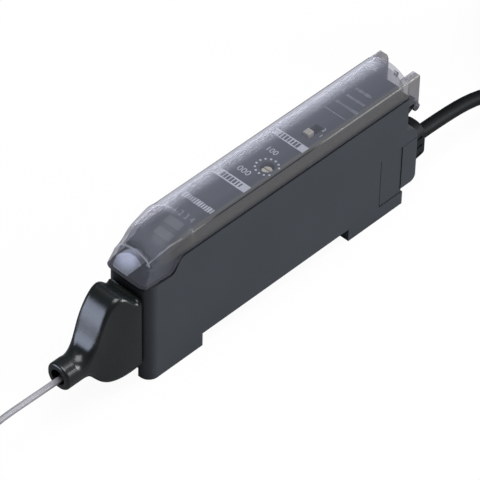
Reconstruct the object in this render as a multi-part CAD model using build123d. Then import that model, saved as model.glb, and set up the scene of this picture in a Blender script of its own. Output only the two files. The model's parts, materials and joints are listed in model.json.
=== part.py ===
"""Slim rail-mounted amplifier for an inductive proximity sensor.

Millimetres, +Z up. X runs along the body from the sensor lead (-X) to the output lead (+X), Y is
across its width, and Z = 0 is the underside of the feet. X = 0 is the middle between the mouth of the
front boot and the end of the rear bush.
"""
from build123d import *
from math import pi, radians, sqrt, tan
import os

# Overall sizes
body_length = 62.0
body_width = 10.0
nose_reach = 15.8
bush_reach = 7.6
seam_z = 23.65
seam_gap = 0.25

front_x = nose_reach - (nose_reach + body_length + bush_reach) / 2
rear_x = front_x + body_length
half_width = body_width / 2
beyond = 40.0

# Housing shell
wall = 1.0
end_wall = 1.2
floor_z = 3.75
front_corner_radius = 2.0
front_top_z = 21.0
dip_start = 4.9
dip_end = 8.3
sill_half = 3.7
sill_z = 20.0
board_ledge_z = 21.65
board_ledge_reach = 0.6
board_ledge_height = 0.8
board_ledge_end = 2.0
front_rib_from_front = 14.0
rear_rib_from_rear = 18.0
rib_length = 1.6
rib_rise = 1.85
rib_inner_y = 1.2

# Rail notch
front_foot = 12.6
notch_width = 35.5
notch_z = 2.75
lip_reach = 1.5
lip_half = 3.0
lip_z = 1.2

# Lobe at the rear, and the cap that makes its lower part
lobe_reach = 2.75
lobe_parting_z = 13.5
lobe_top_z = 16.6
foot_back_step = 0.4
cap_groove_from_rear = 6.4
cap_groove = 0.3
cap_sink = 0.15
cap_cheek_end = 0.9
cap_gap = 0.12
cap_corner_radius = 1.2
cap_floor = 0.5
cap_fit = 0.1
tongue_reach = 1.4
tongue_thickness = 0.65
tongue_margin = 1.5
bridge_length = 2.0

# Boot and its slot in the front wall
slot_half = 2.5
slot_top_z = 18.4
boot_fit = 0.05
boot_gap = 0.55
nose_radius = 2.5
nose_z = 9.2
nose_bore = 3.0
nose_bore_depth = 4.8
boot_flange = 0.9
boot_flange_half = 3.4
boot_flange_lift = 0.3
neck_low_z = 3.4
nose_edge_radius = 0.5
nose_corner_radius = 2.3
hood_stations = [
    (10.7, 2.55, 2.6, 6.5, 12.3, 2.2, 1.6),
    (8.2, 3.0, 2.85, 4.2, 17.2, 1.4, 1.0),
    (6.9, 3.35, 2.85, 3.5, 19.4, 1.2, 1.0),
    (5.6, 3.6, 2.95, 3.2, 20.6, 1.2, 1.0),
    (2.4, 3.9, 3.6, 3.2, 19.5, 1.2, 1.1),
    (boot_gap, 3.95, 3.85, 3.4, 18.8, 1.2, 1.1),
]
hood_start = 12.1
nose_end = 13.4

# Output bush
bush_middle_z = 7.6
bush_width = 6.1
bush_height = 8.6
bush_corner = 2.5
tip_width = 5.3
tip_height = 7.6
tip_corner = 2.3
tip_drop = 0.1
neck_width = 4.5
neck_height = 5.6
neck_corner = 2.1
bush_flange_width = 5.6
bush_flange_height = 6.6
bush_flange_corner = 2.4
bush_flange_thickness = 0.8
groove_count = 3
groove_pitch = 1.85
groove_width = 0.44
groove_bottom = 2.35

# Cover
cover_wall = 0.6
crown_radius = 6.3
ridge_z = 27.1
cover_front_z = 21.2
cover_front_reach = 0.8
cover_lean = 0.619
cover_corner_radius = 2.0
cover_edge_radius = 0.25
ridge_inset = 0.4
cover_sections = [
    (-1.6, 2.0, 24.2, 1.1),
    (1.5, 1.85, 24.85, 0.85),
    (3.6, 1.17, 26.2, 0.4),
    (5.6, 0.88, 26.86, 0.15),
    (7.6, 0.57, 27.07, 0.04),
    (10.6, ridge_inset, ridge_z, 0.0),
]
cover_rear_step = 0.1

# Hinge
pivot_reach = 2.5
pivot_z = 20.1
trunnion_radius = 0.4
hinge_fit = 0.05
knuckle_radius = 0.75
arm_inset = 0.4
arm_width = 2.0
arm_outer = half_width - arm_inset
arm_inner = arm_outer - arm_width
arm_cheek = 0.7
arm_side_gap = 0.1
ear_thickness = 0.7
arm_reach = 2.9
arm_top_z = 27.3
arm_bottom_z = 21.4
arm_clearance = 0.4
arm_inner_radius = 1.2
arm_outer_radius = 0.5
eyelet_y = -1.5
eyelet_z = 27.2
eyelet_radius = 0.6
eyelet_bore = 0.25
eyelet_length = 0.7

# Control panel
panel_half = 3.7
panel_side_wall = 0.5
panel_top_wall = 0.8
panel_top_z = 26.55
panel_slope_end = 13.8
panel_slope = 0.25
panel_rear_step = 1.4
panel_rim_half = 3.95
panel_front_gap = 2.8

# Dial and its potentiometer
dial_from_front = 30.46
dial_y = -1.9
dial_radius = 0.95
dial_sink = 0.6
dial_height = 0.75
dial_stem_radius = 0.55
dial_stem = 0.9
dial_slot = 0.32
dial_hole_radius = 1.25
pot_length = 3.2
pot_width = 2.5
turn_fit = 0.06

# Mode switch
switch_from_front = 41.1
switch_y = -1.15
switch_travel = 2.0
knob_length = 1.3
knob_width = 1.3
knob_rise = 0.8
knob_gap = 0.2
slider_extra = 0.35
slider_height = 0.8
slide_fit = 0.06
switch_body_height = 2.4

# Lenses at the front
lens_gap = 1.15
lens_thickness = 1.6
lens_low_z = 20.5
lens_high_z = 24.0
lens_left = 3.6
lens_right = -2.75
lens_crown_radius = 4.1
lens_crown_y = 0.5
lens_corner = 0.9
lens_joint = 0.1
lens_joint_y = 0.42
lens_joint_slope = 0.667
light_guide_gap = 0.3
white_guide_y = 1.7
white_guide_high_z = 23.2
dark_guide_y = -1.4
dark_guide_height = 0.7
guide_width = 1.6
guide_gap = 0.05
lamp_length = 1.5
lamp_height = 0.8

# Boards and the parts on them
board = 0.8
control_board_from_front = 7.5
control_board_from_rear = 3.5
control_board_half = 3.85
main_board_y = 2.2
main_board_from_front = 5.0
main_board_from_rear = 4.5
main_board_low_z = 4.6
main_board_high_z = 19.6
pin_size = 0.5
pin_pitch = 2.0
pin_count = 8
pins_from_front = 20.0
pin_overlap = 2.0
chip_from_front = 24.0
chip_z = 11.0
regulator_from_front = 50.0
regulator_z = 15.5
transistor_from_front = 33.5
transistor_z = 14.5
capacitor_from_front = 41.0
capacitor_z = 10.5
capacitor_base = 4.3
capacitor_base_height = 0.5
capacitor_height = 5.4
capacitor_radius = 2.0

# Rail latch in the rear foot
latch_half = 2.9
latch_low_z = 0.7
latch_high_z = 1.65
latch_nose = 1.0
latch_tail_step = 0.2
latch_fit = 0.1
latch_window_half = 1.8
rear_foot = body_length - front_foot - notch_width
spring_from_notch = rear_foot * 0.2878
spring_length = rear_foot * 0.295
spring_radius = 0.38
spring_wire = 0.2
spring_turns = 6.3
peg_length = 0.8
pull_length = rear_foot * 0.2
peg_half = 0.6
spring_slot_half = 0.85

# Leads and their coils
output_diameter = 2.6
output_z = 7.1
output_coil_radius = 12.95
output_coil_columns = 3
output_coil_layers = 8
output_coil_x = 88.2
output_tail_y = 11.5
output_tail_start = 9.0
output_tail_end = 1.5
sensor_diameter = 1.1
sensor_coil_radius = 6.5
sensor_coil_columns = 6
sensor_coil_layers = 8
sensor_coil_x = -76.0
sensor_coil_entry_y = -2.2
head_start_y = -0.85
core_diameter = 0.8
head_radius = 2.7
head_length = 16.0
head_face = 1.6


def block(x0, x1, y0, y1, z0, z1):
    """A box between two opposite corners."""
    return Pos((x0 + x1) / 2, (y0 + y1) / 2, (z0 + z1) / 2) * Box(x1 - x0, y1 - y0, z1 - z0)


def side_prism(*outline, half):
    """A closed X-Z outline of points, extruded to both sides of Y = 0."""
    return extrude(make_face(Plane.XZ * Polyline(*outline, close=True)), amount=half, both=True)


def cross_plane(x):
    """The plane across the body at x: its own x runs along +Y and its own y along +Z."""
    return Plane(origin=(x, 0, 0), x_dir=(0, 1, 0), z_dir=(1, 0, 0))


def rod(start, end, radius):
    """A round rod between two points."""
    axis = Vector(*end) - Vector(*start)
    return extrude(Plane(origin=start, z_dir=axis) * Circle(radius), amount=axis.length)


def both_sides(shape):
    """The shape and its mirror image across Y = 0."""
    return [shape, mirror(shape, about=Plane.XZ)]


def seam_edge(lift):
    """The seam between housing and cover from the front to the rear, raised by lift."""
    low = front_top_z + lift
    high = seam_z + lift
    dip = Spline((front_x + dip_start, low), (front_x + dip_end, high), tangents=[(1, 0), (1, 0)],
                 tangent_scalars=(1.3, 1.3))
    return low, high, dip


def housing_outline():
    """Side view of the housing: feet, rail notch, dipped seam edge and the shoulder of the lobe."""
    low, high, dip = seam_edge(0)
    lobe_x = rear_x + lobe_reach
    foot_x = rear_x - foot_back_step
    notch_start = front_x + front_foot
    notch_end = notch_start + notch_width
    shoulder = lobe_top_z - lobe_parting_z
    back = Polyline(dip @ 1, (rear_x, high), (rear_x, lobe_top_z), (lobe_x - shoulder * 0.8, lobe_top_z))
    round_off = EllipticalCenterArc((lobe_x - shoulder * 0.8, lobe_parting_z), shoulder * 0.8, shoulder,
                                    start_angle=0, arc_size=90)
    under = Polyline((lobe_x, lobe_parting_z), (rear_x - end_wall, lobe_parting_z),
                     (rear_x - end_wall, floor_z), (foot_x, floor_z), (foot_x, 0), (notch_end, 0),
                     (notch_end, notch_z), (notch_start, notch_z), (notch_start, 0), (front_x, 0),
                     (front_x, low), dip @ 0)
    return Curve() + [dip, back, round_off, under]


def latch_channel():
    """The T-shaped channel in the rear foot that the rail latch slides in."""
    start = front_x + front_foot + notch_width - latch_nose
    end = rear_x + 1
    wide = latch_half + latch_fit
    slot = block(start, end, -wide, wide, latch_low_z - latch_fit, latch_high_z + latch_fit)
    window = block(start, end, -latch_window_half, latch_window_half, -1, latch_low_z)
    return slot + window


def spring_peg():
    """The peg in the latch channel that the spring pushes on."""
    x = front_x + front_foot + notch_width + spring_from_notch + spring_length
    return block(x, x + peg_length, -peg_half, peg_half, latch_low_z + 0.05, latch_high_z + 2 * latch_fit)


def hinge_ear():
    """One ear on the rear wall, bored for the cover's trunnion."""
    outer = arm_outer - arm_cheek - arm_side_gap
    inner = outer - ear_thickness
    x = rear_x + pivot_reach
    low = pivot_z - knuckle_radius
    web = side_prism((rear_x - 0.2, low - 1.6), (rear_x - 0.2, pivot_z + knuckle_radius),
                     (x, pivot_z + knuckle_radius), (x, low), half=outer)
    ear = web & block(rear_x - 1, x + 1, -outer, -inner, 0, seam_z)
    ear += rod((x, -outer, pivot_z), (x, -inner, pivot_z), knuckle_radius)
    return ear - rod((x, -outer - 1, pivot_z), (x, -inner + 1, pivot_z), trunnion_radius + hinge_fit)


def board_rib(x):
    """A rib on the floor with a slot that the main board stands in."""
    rib = block(x - rib_length / 2, x + rib_length / 2, rib_inner_y, half_width - wall, floor_z,
                floor_z + rib_rise)
    return rib - block(x - rib_length, x + rib_length, main_board_y - boot_fit,
                       main_board_y + board + boot_fit, main_board_low_z, beyond)


def housing_shell():
    """The moulded case, open at the top and at the slot for the boot."""
    inner = half_width - wall
    groove_x = rear_x - cap_groove_from_rear
    notch_start = front_x + front_foot
    shell = extrude(make_face(Plane.XZ * housing_outline()), amount=half_width, both=True)
    upright = shell.edges().filter_by(Axis.Z)
    front_corners = upright.filter_by(lambda e: abs(e.center().X - front_x) < 0.01)
    shell = fillet(front_corners, front_corner_radius)
    shell -= block(front_x + end_wall, rear_x - end_wall, -inner, inner, floor_z, beyond)
    shell -= block(front_x - 1, front_x + end_wall + 1, -sill_half, sill_half, sill_z, beyond)
    shell -= block(front_x - 1, front_x + end_wall + boot_fit, -slot_half, slot_half, -1, slot_top_z)
    for side in both_sides(block(groove_x, rear_x, inner - 0.1, half_width + 1, notch_z + 0.05,
                                 lobe_parting_z)):
        shell -= side
    shell += side_prism((notch_start, 0), (notch_start + lip_reach, lip_z * 0.25),
                        (notch_start + lip_reach, lip_z * 0.67), (notch_start + lip_reach - lip_z / 3, lip_z),
                        (notch_start, lip_z), half=lip_half)
    shell -= latch_channel()
    shell += spring_peg()
    ledge = block(front_x + dip_end, rear_x - board_ledge_end, inner - board_ledge_reach, inner + 0.1,
                  board_ledge_z - board_ledge_height, board_ledge_z)
    for side in both_sides(ledge) + both_sides(hinge_ear()):
        shell += side
    for x in (front_x + front_rib_from_front, rear_x - rear_rib_from_rear):
        shell += board_rib(x)
    return shell


def rear_cap():
    """The lower part of the rear lobe, with two sunk cheeks that close the sides of the case."""
    inner = half_width - wall
    room = inner - cap_fit
    cheek_end = rear_x - cap_cheek_end
    lobe_x = rear_x + lobe_reach
    top = lobe_parting_z - cap_gap
    cheek_x = rear_x - cap_groove_from_rear + cap_groove
    tongue_low = floor_z + tongue_margin
    tongue_high = top - tongue_margin
    tongue_y = inner - 0.05 - tongue_thickness
    cap = block(cheek_end, lobe_x, -half_width, half_width, floor_z, top)
    low_rear = cap.edges().filter_by(Axis.Y).sort_by(Axis.X)[-2:].sort_by(Axis.Z)[0]
    cap = fillet(low_rear, cap_corner_radius)
    cap -= block(cheek_end - 1, lobe_x - wall, -room, room, floor_z + cap_floor, top + 1)
    cap -= block(cheek_end - 1, rear_x - foot_back_step + cap_fit, -room, room, floor_z - 1, top)
    cheek = block(cheek_x, cheek_end + 0.2, inner, half_width - cap_sink, notch_z + 0.2, top)
    tongue = block(cheek_x - tongue_reach, cheek_x + bridge_length, tongue_y, tongue_y + tongue_thickness,
                   tongue_low, tongue_high)
    bridge = block(cheek_x, cheek_x + bridge_length, tongue_y, inner + 0.1, tongue_low, tongue_high)
    for side in both_sides(cheek) + both_sides(tongue) + both_sides(bridge):
        cap += side
    return cap - bush_neck(lobe_x - wall - 1, lobe_x + 1, boot_fit)


def bush_section(x, middle_z, width, height, corner):
    """One rounded cross-section of the output bush."""
    return cross_plane(x) * Pos(0, middle_z) * RectangleRounded(width, height, corner)


def bush_neck(x0, x1, extra):
    """The rounded neck of the output bush from x0 to x1, grown by extra."""
    section = bush_section(x0, bush_middle_z, neck_width + 2 * extra, neck_height + 2 * extra, neck_corner)
    return extrude(section, amount=x1 - x0)


def output_bush():
    """Strain relief of the output lead: ribbed boss outside, neck in the cap and flange inside."""
    start = rear_x + lobe_reach
    end = rear_x + bush_reach
    outer = bush_section(start, bush_middle_z, bush_width, bush_height, bush_corner)
    tip = bush_section(end, bush_middle_z - tip_drop, tip_width, tip_height, tip_corner)
    bush = loft(sections=[outer, tip])
    for place in range(groove_count):
        z = bush_middle_z + (place - (groove_count - 1) / 2) * groove_pitch
        groove = block(start + 0.9, end - 0.8, groove_bottom, half_width, z - groove_width / 2,
                       z + groove_width / 2)
        for side in both_sides(groove):
            bush -= side
    bush += bush_neck(start - wall - 0.1, start + 0.1, 0)
    flange = bush_section(start - wall - 0.1 - bush_flange_thickness, bush_middle_z, bush_flange_width,
                          bush_flange_height, bush_flange_corner)
    return bush + extrude(flange, amount=bush_flange_thickness)


def boot_section(x, low_half, high_half, low_z, high_z, low_radius, high_radius):
    """One rounded cross-section of the boot."""
    outline = Polygon((-low_half, low_z), (low_half, low_z), (high_half, high_z), (-high_half, high_z),
                      align=None)
    corners = outline.vertices().sort_by(Axis.Y)
    outline = fillet(corners[:2], low_radius)
    corners = outline.vertices().sort_by(Axis.Y)[-2:]
    return cross_plane(x) * fillet(corners, high_radius)


def sensor_boot():
    """Rubber boot: round nose, waisted hood, neck through the front wall and flange behind it."""
    mouth = front_x - nose_reach
    near = front_x - boot_gap
    wall_end = front_x + end_wall + boot_fit
    low, high = nose_z - nose_radius, nose_z + nose_radius
    round_end = (nose_radius, nose_radius, low, high, nose_corner_radius, nose_corner_radius)
    sections = [boot_section(front_x - nose_end, *round_end), boot_section(front_x - hood_start, *round_end)]
    for reach, *shape in hood_stations:
        sections.append(boot_section(front_x - reach, *shape))
    nose = extrude(boot_section(mouth, *round_end), amount=front_x - nose_end - mouth)
    boot = loft(sections=sections) + fillet(nose.faces().sort_by(Axis.X)[0].edges(), nose_edge_radius)
    neck_half = slot_half - boot_fit
    boot += block(near, wall_end, -neck_half, neck_half, neck_low_z, slot_top_z - 2 * boot_fit)
    boot += block(wall_end, wall_end + boot_flange, -boot_flange_half, boot_flange_half,
                  floor_z + boot_flange_lift, slot_top_z + boot_flange_lift)
    return boot - rod((mouth - 1, 0, nose_z), (mouth + nose_bore_depth, 0, nose_z), nose_bore / 2)


def cover_section(x, ridge_in, top_z, knee_in, inset):
    """Cross-section of the cover: leaning sides up to a ridge each, and a crown between the ridges.

    The ridges and the knees of the sides are given by how far they lie in from the housing's sides.
    """
    ridge, knee = half_width - ridge_in, half_width - knee_in
    centre_z = top_z - sqrt(crown_radius ** 2 - ridge ** 2)
    radius = crown_radius - inset
    corner = ridge - inset
    corner_z = centre_z + sqrt(radius ** 2 - corner ** 2)
    low = front_top_z - 2
    crown = ThreePointArc((-corner, corner_z), (0, centre_z + radius), (corner, corner_z))
    sides = Polyline((corner, corner_z), (knee - inset, seam_z + seam_gap), (half_width - inset, low),
                     (-half_width + inset, low), (-knee + inset, seam_z + seam_gap), (-corner, corner_z))
    section = make_face(Curve() + [crown, sides])
    ridges = section.vertices().sort_by(Axis.Y)[-2:]
    return cross_plane(x) * fillet(ridges, cover_edge_radius)


def leaning_front(inset):
    """A prism with the cover's leaning front and its two rounded front corners."""
    low = cover_front_z - 3
    foot_x = front_x - cover_front_reach + inset * sqrt(1 + cover_lean ** 2)
    start = foot_x + cover_lean * (low - cover_front_z)
    outline = RectangleRounded(body_length + beyond, body_width - 2 * inset, cover_corner_radius - inset)
    base = Pos(start + (body_length + beyond) / 2, 0, low) * outline
    return extrude(base, amount=beyond, dir=(cover_lean, 0, 1))


def cover_form(inset):
    """Solid form of the cover, inset from its outside."""
    sections = [cover_section(front_x + x, ridge, z, knee, inset) for x, ridge, z, knee in cover_sections]
    end = rear_x - cover_rear_step - inset
    form = loft(sections=sections)
    form += extrude(sections[-1], amount=end - (front_x + cover_sections[-1][0]))
    return form & leaning_front(inset)


def cover_arm():
    """One hinge arm on the rear wall of the cover, with its cheek and trunnion."""
    x = rear_x + pivot_reach
    wall_x = rear_x - cover_rear_step
    arm_x = rear_x + arm_reach
    arm = side_prism((wall_x - 0.1, seam_z + seam_gap), (wall_x - 0.1, arm_top_z), (arm_x - 0.3, arm_top_z),
                     (arm_x, arm_top_z - 0.3), (arm_x, arm_bottom_z), (rear_x + arm_clearance, arm_bottom_z),
                     (rear_x + arm_clearance, seam_z + seam_gap), half=arm_outer)
    arm &= block(rear_x - 2, x + 3, -arm_outer, -arm_inner, 0, beyond)
    top = arm.edges().filter_by(Axis.X).group_by(Axis.Z)[-1].sort_by(Axis.Y)
    arm = fillet(top[-1], arm_inner_radius)
    top = arm.edges().filter_by(Axis.X).filter_by(lambda e: e.center().Z > arm_top_z - 0.01).sort_by(Axis.Y)
    arm = fillet(top[0], arm_outer_radius)
    cheek_inner = -arm_outer + arm_cheek
    arm += block(x - knuckle_radius, arm_x, -arm_outer, cheek_inner, pivot_z, arm_bottom_z + 0.2)
    arm += rod((x, -arm_outer, pivot_z), (x, cheek_inner, pivot_z), knuckle_radius)
    return arm + rod((x, cheek_inner - 0.1, pivot_z), (x, cheek_inner + ear_thickness, pivot_z),
                     trunnion_radius)


def eyelet():
    """The small ring that stands on the rear edge of the cover."""
    x = rear_x - cover_rear_step
    start, end = eyelet_y - eyelet_length / 2, eyelet_y + eyelet_length / 2
    ring = rod((x, start, eyelet_z), (x, end, eyelet_z), eyelet_radius)
    return ring - rod((x, start - 1, eyelet_z), (x, end + 1, eyelet_z), eyelet_bore)


def dust_cover():
    """The see-through cover: a thin shell with its arms, cut along the seam."""
    cover = cover_form(0) - cover_form(cover_wall)
    low, high, dip = seam_edge(seam_gap)
    before, behind = front_x - beyond, rear_x + beyond
    base = Polyline(dip @ 1, (behind, high), (behind, low - beyond), (before, low - beyond), (before, low),
                    dip @ 0)
    cover -= extrude(make_face(Plane.XZ * (Curve() + [dip, base])), amount=body_width, both=True)
    for side in both_sides(cover_arm()):
        cover += side
    return cover + eyelet()


def lean_x(z, gap):
    """X at height z of a plane parallel to the cover's front, gap behind its outside."""
    return front_x - cover_front_reach + gap + cover_lean * (z - cover_front_z)


def panel_side(drop, half):
    """Side form of the control panel, with its top and front sunk by drop."""
    top = panel_top_z - drop
    flat_x = front_x + panel_slope_end
    low = sill_z if drop == 0 else sill_z - 1
    foot = board_ledge_z + board if drop == 0 else board_ledge_z
    gap = panel_front_gap + drop
    corner_z = (top - panel_slope * (flat_x - lean_x(0, gap))) / (1 - panel_slope * cover_lean)
    return side_prism((lean_x(low, gap), low), (lean_x(corner_z, gap), corner_z), (flat_x, top),
                      (rear_x - panel_rear_step - drop, top), (rear_x - panel_rear_step - drop, foot),
                      (front_x + control_board_from_front, foot), (front_x + control_board_from_front, low),
                      half=half)


def switch_slot_box(extra, low, high):
    """The slot in the panel that the mode knob travels along."""
    x0 = front_x + switch_from_front - knob_length / 2 - knob_gap - extra
    x1 = x0 + knob_length + 2 * knob_gap + switch_travel + 2 * extra
    reach = knob_width / 2 + knob_gap + extra
    return block(x0, x1, switch_y - reach, switch_y + reach, low, high)


def control_panel():
    """The moulded cap under the cover, with its dial hole, switch slot and light guide windows."""
    inner = panel_half - panel_side_wall
    panel = panel_side(0, panel_half)
    rim_low = board_ledge_z + board
    panel += block(front_x + dip_end, rear_x - panel_rear_step, -panel_rim_half, panel_rim_half,
                   rim_low, seam_z)
    panel -= panel_side(panel_top_wall, inner)
    dial_x = front_x + dial_from_front
    panel -= Pos(dial_x, dial_y, panel_top_z) * Cylinder(dial_hole_radius, 4)
    panel -= Pos(dial_x, dial_y, panel_top_z) * Cone(dial_hole_radius - 0.2, dial_hole_radius + 0.25, 0.5)
    panel -= switch_slot_box(0, panel_top_z - 3, panel_top_z + 1)
    for guide in (white_guide(lens_joint), dark_guide(lens_joint)):
        panel -= guide
    return panel


def lens_slab():
    """The two lenses as one arched slab, just behind the cover's leaning front."""
    width, height = lens_left - lens_right, lens_high_z - lens_low_z
    face = Pos((lens_left + lens_right) / 2, (lens_low_z + lens_high_z) / 2) * Rectangle(width, height)
    face &= Pos(lens_crown_y, lens_high_z - lens_crown_radius) * Circle(lens_crown_radius)
    face = fillet(face.vertices().sort_by(Axis.Y)[:2], lens_corner)
    slab = extrude(cross_plane(front_x - 6) * face, amount=14)
    low, high = lens_low_z - 2, lens_high_z + 2
    back = lens_gap + lens_thickness
    return slab & side_prism((lean_x(low, lens_gap), low), (lean_x(high, lens_gap), high),
                             (lean_x(high, back), high), (lean_x(low, back), low), half=body_width)


def joint_side(shift):
    """Everything on the far side of the slanted joint between the lenses, moved by shift."""
    low, high = lens_low_z - 2, lens_high_z + 2
    low_y = lens_joint_y + lens_joint_slope * (lens_low_z - low) + shift
    high_y = low_y - lens_joint_slope * (high - low)
    outline = Polyline((low_y, low), (beyond, low), (beyond, high), (high_y, high), close=True)
    return extrude(make_face(cross_plane(front_x - 8) * outline), amount=20)


def white_guide(extra):
    """Light guide from the milky lens back to its lamp, grown by extra."""
    start = lean_x(white_guide_high_z, lens_gap + lens_thickness / 2)
    reach = guide_width / 2 + extra
    return block(start, front_x + control_board_from_front - light_guide_gap, white_guide_y - reach,
                 white_guide_y + reach, board_ledge_z + board + guide_gap - extra,
                 white_guide_high_z + extra)


def dark_guide(extra):
    """Light guide from the dark lens back to its lamp, grown by extra."""
    high = board_ledge_z - guide_gap
    start = lean_x(high, lens_gap + lens_thickness / 2)
    reach = guide_width / 2 + extra
    return block(start, front_x + control_board_from_front - light_guide_gap, dark_guide_y - reach,
                 dark_guide_y + reach, high - dark_guide_height - extra, high + extra)


def indicator_lens():
    """Milky lens with its light guide."""
    return (lens_slab() & joint_side(lens_joint / 2)) + white_guide(0)


def stability_lens():
    """Dark lens with its light guide."""
    return (lens_slab() - joint_side(-lens_joint / 2)) + dark_guide(0)


def led(y, z0):
    """A side-facing lamp on the front edge of the control board, standing on z0."""
    x = front_x + control_board_from_front
    half = guide_width / 2
    lamp = block(x, x + lamp_length, y - half, y + half, z0, z0 + lamp_height)
    return lamp + block(x - 0.1, x, y - half * 0.7, y + half * 0.7, z0 + 0.1, z0 + lamp_height - 0.1)


def control_board():
    """The board under the panel, clamped between the housing's ledges and the panel's rim."""
    return block(front_x + control_board_from_front, rear_x - control_board_from_rear,
                 -control_board_half, control_board_half, board_ledge_z, board_ledge_z + board)


def main_board():
    return block(front_x + main_board_from_front, rear_x - main_board_from_rear,
                 main_board_y, main_board_y + board, main_board_low_z, main_board_high_z)


def board_pins():
    """Square pins from the main board up to the underside of the control board."""
    first = front_x + pins_from_front
    return [block(first + i * pin_pitch, first + i * pin_pitch + pin_size, main_board_y - pin_size,
                  main_board_y, main_board_high_z - pin_overlap, board_ledge_z) for i in range(pin_count)]


def chip(x, z, length, width, height, leads):
    """A moulded package on the main board, with bent leads along its two long edges."""
    y = main_board_y
    package = block(x - length / 2, x + length / 2, y - height, y - 0.1, z - width / 2, z + width / 2)
    pitch = length / leads
    for i in range(leads):
        lead_x = x - length / 2 + (i + 0.5) * pitch
        for side in (-1, 1):
            edge = z + side * width / 2
            foot = edge + side * 0.7
            step = edge + side * 0.35
            package += block(lead_x - pitch / 4, lead_x + pitch / 4, y - height / 2 - 0.08,
                             y - height / 2 + 0.08, min(edge, step), max(edge, step))
            package += block(lead_x - pitch / 4, lead_x + pitch / 4, y - height / 2 - 0.08, y,
                             min(step, step - side * 0.14), max(step, step - side * 0.14))
            package += block(lead_x - pitch / 4, lead_x + pitch / 4, y - 0.14, y,
                             min(step - side * 0.14, foot), max(step - side * 0.14, foot))
    return package


def smoothing_capacitor():
    """A can capacitor on a square base, standing on the main board."""
    x, z = front_x + capacitor_from_front, capacitor_z
    half = capacitor_base / 2
    seat = main_board_y - capacitor_base_height
    base = block(x - half, x + half, seat, main_board_y, z - half, z + half)
    can = rod((x, seat, z), (x, main_board_y - capacitor_height, z), capacitor_radius)
    rim = can.edges().filter_by(GeomType.CIRCLE).sort_by(Axis.Y)[0]
    return base + fillet(rim, capacitor_radius / 5)


def dial_axis_z():
    """Height of the top of the potentiometer body."""
    return panel_top_z - dial_sink - dial_height - 0.05


def potentiometer_body():
    x = front_x + dial_from_front
    y0 = dial_y - pot_width / 2
    body = block(x - pot_length / 2, x + pot_length / 2, y0, y0 + pot_width, board_ledge_z + board,
                 dial_axis_z())
    socket_z = dial_axis_z() - dial_stem / 2
    return body - Pos(x, dial_y, socket_z) * Cylinder(dial_stem_radius + turn_fit, dial_stem + 0.02)


def sensitivity_dial():
    """The slotted rotor that is turned with a small screwdriver."""
    x = front_x + dial_from_front
    top = panel_top_z - dial_sink
    rotor = Pos(x, dial_y, top - dial_height / 2) * Cylinder(dial_radius, dial_height)
    rotor = chamfer(rotor.edges().filter_by(GeomType.CIRCLE).sort_by(Axis.Z)[-1], 0.12)
    rotor -= Pos(x, dial_y, top) * Box(dial_slot, 4, 0.7)
    stem_z = dial_axis_z() - dial_stem / 2 + 0.1
    return rotor + Pos(x, dial_y, stem_z) * Cylinder(dial_stem_radius, dial_stem - 0.1)


def slider_block(extra):
    """The foot of the mode knob inside its switch, grown by extra."""
    x = front_x + switch_from_front
    low = board_ledge_z + board + 0.7
    reach_x = knob_length / 2 + slider_extra + extra
    reach_y = knob_width / 2 + slider_extra + extra
    return block(x - reach_x, x + reach_x, switch_y - reach_y, switch_y + reach_y, low - extra,
                 low + slider_height + extra)


def mode_switch_body():
    """The slide switch under the panel, hollow for the knob's foot, with a slot in its top."""
    low = board_ledge_z + board
    x0 = front_x + switch_from_front - knob_length / 2 - slider_extra - 0.7
    x1 = x0 + knob_length + 2 * slider_extra + switch_travel + 1.4
    reach = knob_width / 2 + slider_extra + 0.45
    body = block(x0, x1, switch_y - reach, switch_y + reach, low, low + switch_body_height)
    start = slider_block(slide_fit)
    body -= start + Pos(switch_travel / 2, 0, 0) * start + Pos(switch_travel, 0, 0) * start
    neck_z = low + 1.0
    x = front_x + switch_from_front
    reach_x = knob_length / 2 + slide_fit
    reach_y = knob_width / 2 + slide_fit
    return body - block(x - reach_x, x + reach_x + switch_travel, switch_y - reach_y, switch_y + reach_y,
                        neck_z, low + 4)


def mode_switch_knob():
    """Slide knob with a ribbed top and a wider foot that holds it in the switch."""
    x = front_x + switch_from_front
    top = panel_top_z + knob_rise
    low = board_ledge_z + board + 0.7 + slider_height / 2
    stem = block(x - knob_length / 2, x + knob_length / 2, switch_y - knob_width / 2,
                 switch_y + knob_width / 2, low, top)
    stem = chamfer(stem.faces().sort_by(Axis.Z)[-1].edges(), 0.15)
    for shift in (-0.3, 0.0, 0.3):
        stem -= block(x + shift - 0.06, x + shift + 0.06, switch_y - 1, switch_y + 1, top - 0.12, top + 1)
    return stem + slider_block(0)


def rail_latch():
    """Spring latch: bevelled nose into the notch, slot for its spring and a pull recess at the tail."""
    notch_end = front_x + front_foot + notch_width
    tail = rear_x - foot_back_step - latch_tail_step
    plate = side_prism((notch_end - latch_nose, latch_high_z), (tail, latch_high_z), (tail, latch_low_z),
                       (notch_end - 0.1, latch_low_z), (notch_end - latch_nose, latch_high_z - 0.35),
                       half=latch_half)
    slot_x = notch_end + spring_from_notch
    plate -= block(slot_x, slot_x + spring_length + peg_length + 0.1, -spring_slot_half, spring_slot_half,
                   0, latch_high_z + 1)
    pull_end = tail - 0.6
    pull_middle = pull_end - pull_length / 2
    plate += block(pull_end - pull_length, pull_end, -latch_window_half + 0.2, latch_window_half - 0.2, 0.15,
                   latch_low_z + 0.1)
    return plate - block(pull_middle - 0.5, pull_middle + 0.5, -0.9, 0.9, 0, latch_low_z + 0.4)


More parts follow.
